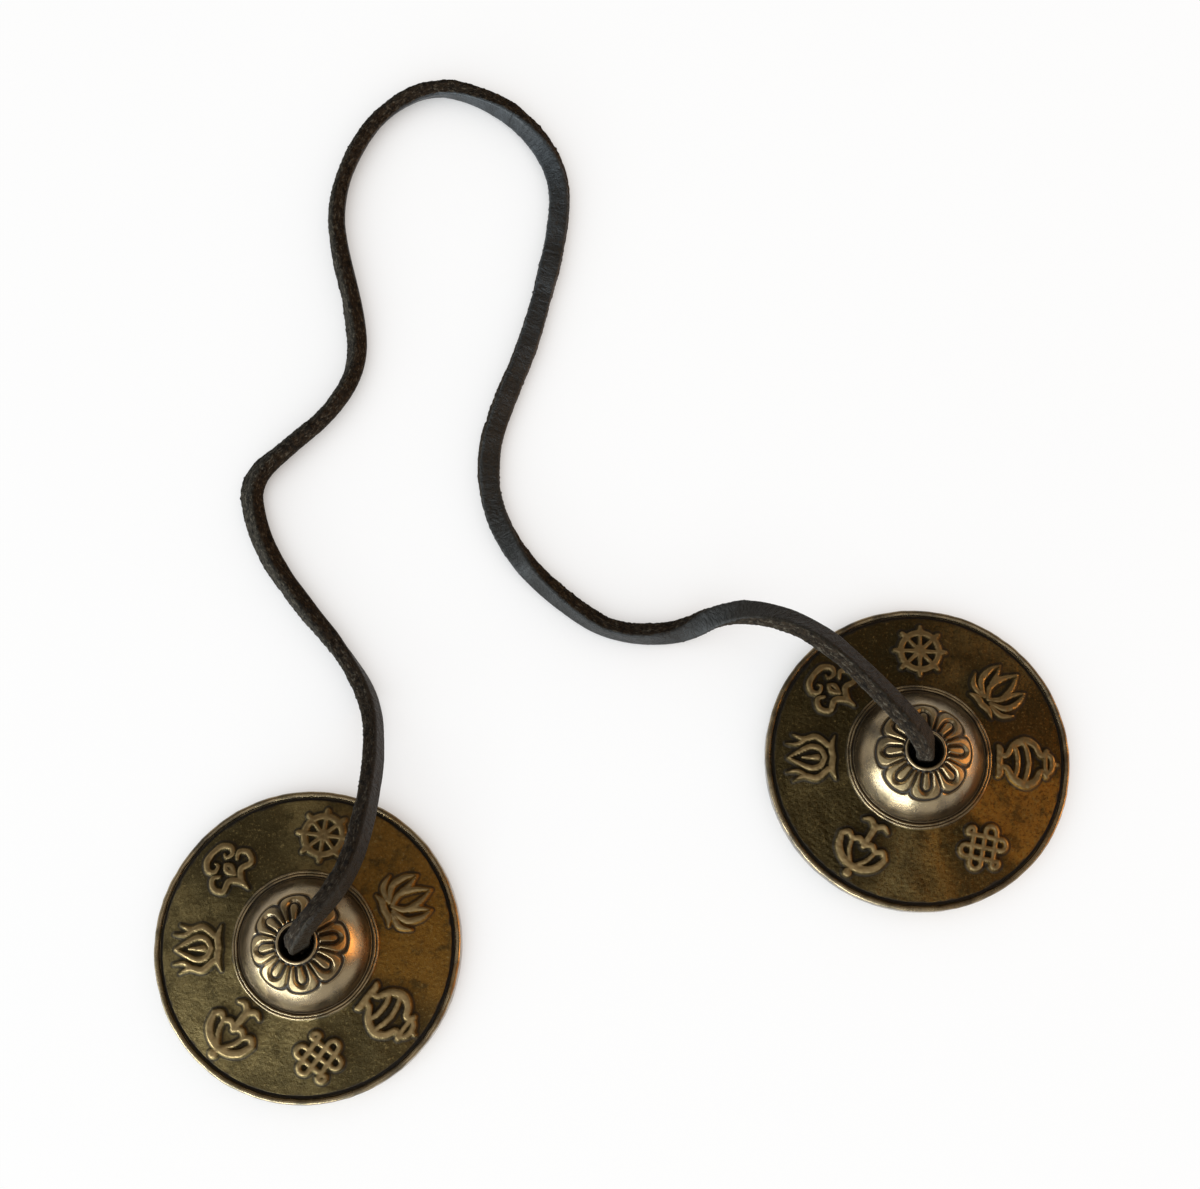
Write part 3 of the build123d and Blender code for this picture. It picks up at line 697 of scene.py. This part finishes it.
def make_cymbal(side, settings):
    """One cymbal: a closed casting with its lotus, flange ornaments and wear."""
    rings = profile()
    counts = [count for *_, count in rings]
    radius, height, zones = (np.repeat([ring[part] for ring in rings], counts) for part in range(3))
    angle = np.concatenate([np.arange(count) * 2 * math.pi / count for count in counts])
    x, y = radius * np.cos(angle), radius * np.sin(angle)
    flat = np.stack([x, y, height], axis=1)
    seed = CASTING_SEEDS[side]
    worn, grime, polish = (np.zeros(len(flat)) for _ in range(3))
    for zone, (wear, soot) in ZONE_WEAR.items():
        here = zones == zone
        worn[here], grime[here] = wear, soot
        polish[here] = zone in POLISHED

    field = zones == "field"
    u, v, out = x[field], y[field], radius[field]
    deepest = np.full(len(u), -9.0)
    for ornament, place in zip(ORNAMENTS, PLACES[side]):
        way = math.radians(place)
        outward = u * math.cos(way) + v * math.sin(way) - ORNAMENT_R
        across = u * math.sin(way) - v * math.cos(way)
        near = (np.abs(across) < ORNAMENT_REACH) & (np.abs(outward) < ORNAMENT_REACH)
        found = inside(ornament(), across[near], outward[near])
        deepest[near] = np.maximum(deepest[near], found)
    edge = np.minimum(rise(out, FIELD_IN_R, FIELD_IN_R + 0.6), 1 - rise(out, FIELD_OUT_R - 0.5, FIELD_OUT_R))
    relief = rise(deepest, -0.12, 0.28) * (0.9 + 0.13 * np.clip(deepest, 0, 0.8))
    cast = ripple(flat[field], 1.1, seed) * 0.026 * PEBBLES[side] + ripple(flat[field], 5, seed + 1) * 0.03
    height[field] += (relief * settings.ornament_relief / MM + cast) * edge
    worn[field] = rise(deepest, 0.02, 0.4) * edge * 0.9
    foot = np.exp(-(((deepest + 0.28) / 0.36) ** 2))
    bounds = np.maximum(1 - rise(out, FIELD_IN_R, FIELD_IN_R + 0.7),
                        rise(out, FIELD_OUT_R - 0.9, FIELD_OUT_R))
    grime[field] = np.maximum(foot * 0.62, bounds * (0.42 + 0.12 * ripple(flat[field], 3, seed + 8)))

    dome = zones == "dome"
    raised, rubbed, sooty = lotus_relief(x[dome], y[dome], TURNS[side], settings)
    share = 1 + (raised + ripple(flat[dome], 3.5, seed + 2) * 0.012) / DOME_R
    x[dome] *= share
    y[dome] *= share
    height[dome] = DOME_Z + (height[dome] - DOME_Z) * share
    polish[dome] = 1 - 0.6 * rubbed
    worn[dome] = 0.68 + 0.12 * ripple(flat[dome], 6, seed + 3) - 0.12 * rubbed
    grime[dome] = np.maximum(sooty * 0.95, rise(radius[dome], 13.7, 14.05) * 0.5)

    beads = np.isin(zones, ("collar", "rim"))
    dents = ripple(flat[beads], 2.6, seed + 4) * 0.025 + ripple(flat[beads], 9, seed + 5) * 0.03
    stay = 1 + dents / radius[beads] * rise(height[beads], 0, 1)
    x[beads] *= stay
    y[beads] *= stay
    worn[beads] += 0.14 * ripple(flat[beads], 4, seed + 6)

    middle = -CYMBAL_X if side == "left" else CYMBAL_X
    points = np.stack([x + middle, y, height], axis=1) * MM
    patina = settings.left_patina if side == "left" else settings.right_patina
    piece = new_piece(f"{side}_casting", points, turned_faces(counts),
                      bronze(f"{side}_bronze", patina, PEBBLES[side], settings))
    note(piece, "worn", np.clip(worn, 0, 1))
    note(piece, "grime", np.clip(grime, 0, 1))
    note(piece, "polish", polish)
    # Angles of the amber tone, partly painted warm reflection, and of the painted shade, kept as point
    # attributes
    for name, spots in PATINA_AND_PAINTED_LIGHT_SIDES[side].items():
        reach = [rise(np.cos(angle - math.radians(place)), end, 1.0) for place, end in spots]
        note(piece, name, np.max(reach, axis=0))
    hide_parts(f"{side}_cymbal")
    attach(piece, f"cymbal_{side}")


def spline_line(route, resolution):
    """Points of the smooth line that has the route as its control points."""
    curve = bpy.data.curves.new("lace_line", "CURVE")
    curve.dimensions = "3D"
    curve.resolution_u = resolution
    spline = curve.splines.new("NURBS")
    spline.points.add(len(route) - 1)
    for point, place in zip(spline.points, route):
        point.co = (*place, 1)
    spline.order_u = 3
    spline.use_endpoint_u = True
    holder = bpy.data.objects.new("lace_line", curve)
    bpy.context.scene.collection.objects.link(holder)
    mesh = bpy.data.meshes.new_from_object(holder)
    line = np.array([vertex.co[:] for vertex in mesh.vertices])
    bpy.data.objects.remove(holder)
    bpy.data.curves.remove(curve)
    bpy.data.meshes.remove(mesh)
    return line


def section(settings):
    """Section of the lace in millimetres: across and through, with rounded edges."""
    half_width, half_thick = settings.width / MM / 2, settings.thickness / MM / 2
    grain, flesh = settings.grain_corner / MM, settings.flesh_corner / MM
    quarters = []
    for turn, (across, through, corner) in enumerate(((1, 1, grain), (-1, 1, grain), (-1, -1, flesh),
                                                      (1, -1, flesh))):
        angle = np.radians(np.linspace(0, 90, 5) + 90 * turn)
        quarters.append(np.stack([across * (half_width - corner) + corner * np.cos(angle),
                                  through * (half_thick - corner) + corner * np.sin(angle)], axis=1))
    places = []
    for quarter, after in zip(quarters, quarters[1:] + quarters[:1]):
        places.append(quarter)
        places.append(np.linspace(quarter[-1], after[0], 8)[1:-1])
    return np.concatenate(places)


def lay_lace(line, twist, lean, settings, seed):
    """Rings of lace about a line in millimetres: points and their place on the lace."""
    shape = section(settings)
    ahead = np.gradient(line, axis=0)
    along = np.concatenate(([0], np.cumsum(np.linalg.norm(np.diff(line, axis=0), axis=1))))
    ahead /= np.linalg.norm(ahead, axis=1)[:, None]
    up = np.array((0, 0, 1.0)) + lean
    up = up - (up * ahead).sum(1)[:, None] * ahead
    up /= np.linalg.norm(up, axis=1)[:, None]
    right = np.cross(ahead, up)
    turn = np.radians(twist)[:, None]
    face = np.cos(turn) * up + np.sin(turn) * right
    side = np.cross(ahead, face)
    count = len(shape)
    place = np.concatenate([np.tile(shape, (len(line), 1)), np.repeat(along, count)[:, None]], axis=1)
    grain = rise(place[:, 1], 1.2, 1.7)
    frayed = (ripple(place * (1, 1, 0.7), 1.5, seed) * 0.04 + ripple(place, 0.85, seed + 1) * 0.035
              + np.maximum(0, ripple(place, 1.1, seed + 3) - 1.2) * 0.12)
    wave = ripple(place * (0.2, 0.2, 1), 9, seed + 2) * 0.04
    swell = 1 + (frayed * (1 - 0.8 * grain) + wave) / np.hypot(place[:, 0], place[:, 1])
    across, through = place[:, 0] * swell, place[:, 1] * swell
    points = (np.repeat(line, count, axis=0) + np.repeat(side, count, axis=0) * across[:, None]
              + np.repeat(face, count, axis=0) * through[:, None])
    return points.reshape(len(line), count, 3), place.reshape(len(line), count, 3)


def lace_piece(name, rings, places, line, material):
    """Closed length of lace with both ends capped."""
    count = rings.shape[1]
    faces = [*grid_faces(len(rings), count)]
    ends = np.array([line[0], line[-1]])
    first, last = len(rings) * count, len(rings) * count + 1
    for step in range(count):
        aside = (step + 1) % count
        faces.append((first, aside, step))
        faces.append((last, (len(rings) - 1) * count + step, (len(rings) - 1) * count + aside))
    points = np.concatenate([rings.reshape(-1, 3), ends])
    piece = new_piece(name, points * MM, faces, material)
    middle = np.array([(0, 0, places[0, 0, 2]), (0, 0, places[-1, 0, 2])])
    note(piece, "lace_place", np.concatenate([places.reshape(-1, 3), middle]))
    return piece


class TINGSHA_OT_stage(bpy.types.Operator):
    """Camera, floor, world and lamps"""

    bl_idname = "tingsha.stage"
    bl_label = "Stage"

    def execute(self, context):
        settings = context.scene.tingsha_stage
        scene = context.scene
        scene.view_settings.view_transform = "Standard"
        self.add_camera(scene, settings)
        self.add_floor(scene, settings)
        self.add_world(scene)
        self.add_lamps(scene, settings)
        return {"FINISHED"}

    def add_camera(self, scene, settings):
        """Camera at the photograph's viewing angle."""
        turn, tilt, roll = (math.radians(angle) for angle in (CAMERA_TURN, CAMERA_TILT, CAMERA_ROLL))
        distance, target = CAMERA_DISTANCE * MM, Vector(CAMERA_TARGET) * MM
        back = Vector((math.sin(turn) * math.sin(tilt), -math.cos(turn) * math.sin(tilt), math.cos(tilt)))
        level = Vector((math.cos(turn), math.sin(turn), 0))
        upright = back.cross(level)
        right = math.cos(roll) * level + math.sin(roll) * upright
        up = -math.sin(roll) * level + math.cos(roll) * upright
        data = bpy.data.cameras.new("camera")
        data.lens = settings.lens
        data.sensor_width = 36
        data.clip_start, data.clip_end = 0.01, 20
        camera = bpy.data.objects.new("camera", data)
        scene.collection.objects.link(camera)
        pose = Matrix((right, up, back)).transposed().to_4x4()
        pose.translation = target + back * distance
        camera.matrix_world = pose
        scene.camera = camera

    def add_floor(self, scene, settings):
        """Pale round floor, whose white gives way near the object by ambient occlusion: there the lit paper
        shows its real shadow, and the fade itself is painted contact shade.
        """
        mesh = bpy.data.meshes.new("floor")
        angles = np.linspace(0, 2 * math.pi, FLOOR_SIDES, endpoint=False)
        edge = [(FLOOR_R * math.cos(angle), FLOOR_R * math.sin(angle), 0) for angle in angles]
        mesh.from_pydata(edge, [], [list(range(FLOOR_SIDES))])
        material, f = new_material("floor_paper")
        paper = f.node("ShaderNodeBsdfPrincipled", None, {
            "Base Color": as_colour(settings.floor_colour), "Roughness": 0.9})
        white = f.node("ShaderNodeEmission", None, {"Color": as_colour(WHITE), "Strength": 1.0})
        # Ambient occlusion dims the floor's white near the object: painted contact shade, through which the
        # paper's real shadow shows
        open_air = f.node("ShaderNodeAmbientOcclusion", None, {"Distance": SHADE_REACH}, 1)
        surface = f.node("ShaderNodeMixShader", None, {
            0: f.seen() * open_air * FLOOR_WHITE, 1: paper, 2: white})
        f.node("ShaderNodeOutputMaterial", None, {"Surface": surface})
        mesh.materials.append(material)
        floor = bpy.data.objects.new("floor", mesh)
        scene.collection.objects.link(floor)

    def add_world(self, scene):
        """Pale walls round the table under a dimmer ceiling."""
        world = bpy.data.worlds.new("studio")
        world.use_nodes = True
        scene.world = world
        f = Finish(world.node_tree)
        way = f.node("ShaderNodeTexCoord", None, None, 0)
        height = f.node("ShaderNodeSeparateXYZ", None, {0: way}, 2)
        facing = f.node("ShaderNodeVectorMath", {"operation": "DOT_PRODUCT"}, {0: way, 1: BRIGHT_SIDE}, 1)
        walls = f.mix(f.step(facing, -0.4, 0.75), *WALLS)
        ceiling = f.mix(f.step(facing, 0.0, 0.55), *CEILING)
        colour = f.mix(f.step(height, 0.3, 0.8), walls, ceiling)
        colour = f.mix(f.seen() * (1 - f.step(height, 0.05, 0.2)), colour, WHITE)
        straight = f.node("ShaderNodeLightPath", None, None, 0)
        colour = f.mix(straight, colour, WHITE)
        light = f.node("ShaderNodeBackground", None, {"Color": colour, "Strength": 1.0})
        f.node("ShaderNodeOutputWorld", None, {"Surface": light})

    def add_lamps(self, scene, settings):
        """Soft lamps that face the table."""
        for name, (place, size, colour) in LAMPS.items():
            lamp = bpy.data.lights.new(f"{name}_light", "AREA")
            lamp.shape = "RECTANGLE"
            lamp.size, lamp.size_y = size
            lamp.energy, lamp.color = getattr(settings, f"{name}_power"), colour
            holder = bpy.data.objects.new(f"{name}_light", lamp)
            scene.collection.objects.link(holder)
            holder.location = place
            back = Vector(place) - Vector(LAMP_TARGET)
            holder.rotation_euler = back.to_track_quat("Z", "Y").to_euler()
            holder.visible_camera = False


class TINGSHA_OT_lace(bpy.types.Operator):
    """Leather lace from bore to bore, in three lengths"""

    bl_idname = "tingsha.lace"
    bl_label = "Lace"

    def execute(self, context):
        settings = context.scene.tingsha_lace
        material = leather(settings)
        route = np.array(ROUTE)
        line = spline_line(ROUTE, LACE_STEPS)
        control = np.linspace(0.5, len(ROUTE) - 1.5, len(line))
        twist = np.interp(control, *zip(*LACE_TWIST))
        ease = np.ones(TWIST_EASE) / TWIST_EASE
        twist = np.convolve(np.pad(twist, TWIST_EASE // 2, mode="edge"), ease, mode="valid")
        heading_in, heading_out = route[2] - route[1], route[-2] - route[-3]
        share = rise(control, 10, len(ROUTE) - 10)[:, None]
        lean = END_LEAN * ((share - 1) * heading_in / np.linalg.norm(heading_in)
                           + share * heading_out / np.linalg.norm(heading_out))
        on_table = rise(control, 2.5, 5) * (1 - rise(control, len(ROUTE) - 6, len(ROUTE) - 3.5))
        facing = VIEWPOINT - line
        lean[:, :2] += on_table[:, None] * facing[:, :2] / facing[:, 2:]
        rings, places = lay_lace(line, twist, lean, settings, LACE_SEED)
        sink = np.maximum(0, TABLE_GAP - rings[:, :, 2].min(axis=1))
        line[:, 2] += sink
        rings[:, :, 2] += sink[:, None]
        middles = (route[1:] + route[:-1]) / 2
        first, last = (int(np.linalg.norm(line - middles[run], axis=1).argmin()) for run in BIGHT_RUNS)
        spans = {"left_lace": (0, first), "lace_bight": (first, last), "right_lace": (last, len(line) - 1)}
        pieces = {}
        for name, (start, end) in spans.items():
            cut = slice(start, end + 1)
            pieces[name] = lace_piece(name, rings[cut], places[cut], line[cut], material)
        knots = self.tie_knots(settings, material)
        left, bight, right = pieces.values()
        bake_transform(left)
        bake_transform(bight)
        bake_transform(right)
        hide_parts("left_bend", "left_leg")
        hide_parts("bight")
        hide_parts("right_bend", "right_leg")
        for piece, way, with_pieces in (
            (left, line[:first + 1], knots[:1]),
            (bight, line[first:last + 1], []),
            (right, line[:last - 1:-1], knots[1:]),
        ):
            way[0] * MM
            way * MM
        return {"FINISHED"}

    def flex_ends(self, middle, heading):
        """Where the lace starts and ends to flex above one bore."""
        bore = np.array((middle, 0, FLEX_START_Z))
        end = np.array((middle, 0, FLEX_END_Z)) + heading / np.linalg.norm(heading) * FLEX_REACH
        return bore * MM, end * MM

    def tie_knots(self, settings, material):
        """Stopper knot under each dome."""
        knots = []
        for side, middle in (("left", -CYMBAL_X), ("right", CYMBAL_X)):
            angle = math.radians(KNOT_TURNS[side])
            route = [(x * math.cos(angle) - y * math.sin(angle), x * math.sin(angle) + y * math.cos(angle), z)
                     for x, y, z in KNOT_ROUTE]
            line = spline_line(route, KNOT_STEPS)
            control = np.linspace(0.5, len(route) - 1.5, len(line))
            twist = np.interp(control, np.arange(len(route)), KNOT_TWIST)
            lean = np.tile(KNOT_LEAN * np.array((math.sin(angle), -math.cos(angle), 0)), (len(line), 1))
            rings, places = lay_lace(line, twist, lean, settings, KNOT_SEED)
            rings = line[:, None] + (rings - line[:, None]) * KNOT_PULL
            rings, line = rings + (middle, 0, 0), line + (middle, 0, 0)
            knot = lace_piece(f"{side}_stopper", rings, places, line, material)
            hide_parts(f"{side}_knot")
            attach(knot, f"lace_{side}_end")
            knots.append(knot)
        return knots


class TINGSHA_OT_cymbals(bpy.types.Operator):
    """The two cast cymbals"""

    bl_idname = "tingsha.cymbals"
    bl_label = "Cymbals"

    def execute(self, context):
        for side in ("left", "right"):
            make_cymbal(side, context.scene.tingsha_cymbals)
        return {"FINISHED"}


class TINGSHA_PT_panel(bpy.types.Panel):
    """Sizes, colours and steps of the cymbals"""

    bl_label = "Tingsha cymbals"
    bl_idname = "TINGSHA_PT_panel"
    bl_space_type = "VIEW_3D"
    bl_region_type = "UI"
    bl_category = "Tingsha"

    def draw(self, context):
        for group, kind in GROUPS:
            box = self.layout.box()
            for name in kind.__annotations__:
                box.prop(getattr(context.scene, group), name)
        for operator in OPERATORS:
            self.layout.operator(operator.bl_idname)


GROUPS = (
    ("tingsha_stage", StageSettings),
    ("tingsha_lace", LaceSettings),
    ("tingsha_cymbals", CymbalSettings),
)
OPERATORS = (TINGSHA_OT_stage, TINGSHA_OT_lace, TINGSHA_OT_cymbals)


def register():
    for group, kind in GROUPS:
        bpy.utils.register_class(kind)
        setattr(bpy.types.Scene, group, PointerProperty(type=kind))
    for kind in (*OPERATORS, TINGSHA_PT_panel):
        bpy.utils.register_class(kind)


def unregister():
    for kind in (TINGSHA_PT_panel, *reversed(OPERATORS)):
        bpy.utils.unregister_class(kind)
    for group, kind in reversed(GROUPS):
        delattr(bpy.types.Scene, group)
        bpy.utils.unregister_class(kind)


def main():
    register()
    bpy.ops.tingsha.stage()
    bpy.ops.tingsha.lace()
    bpy.ops.tingsha.cymbals()


if __name__ == "__main__":
    main()
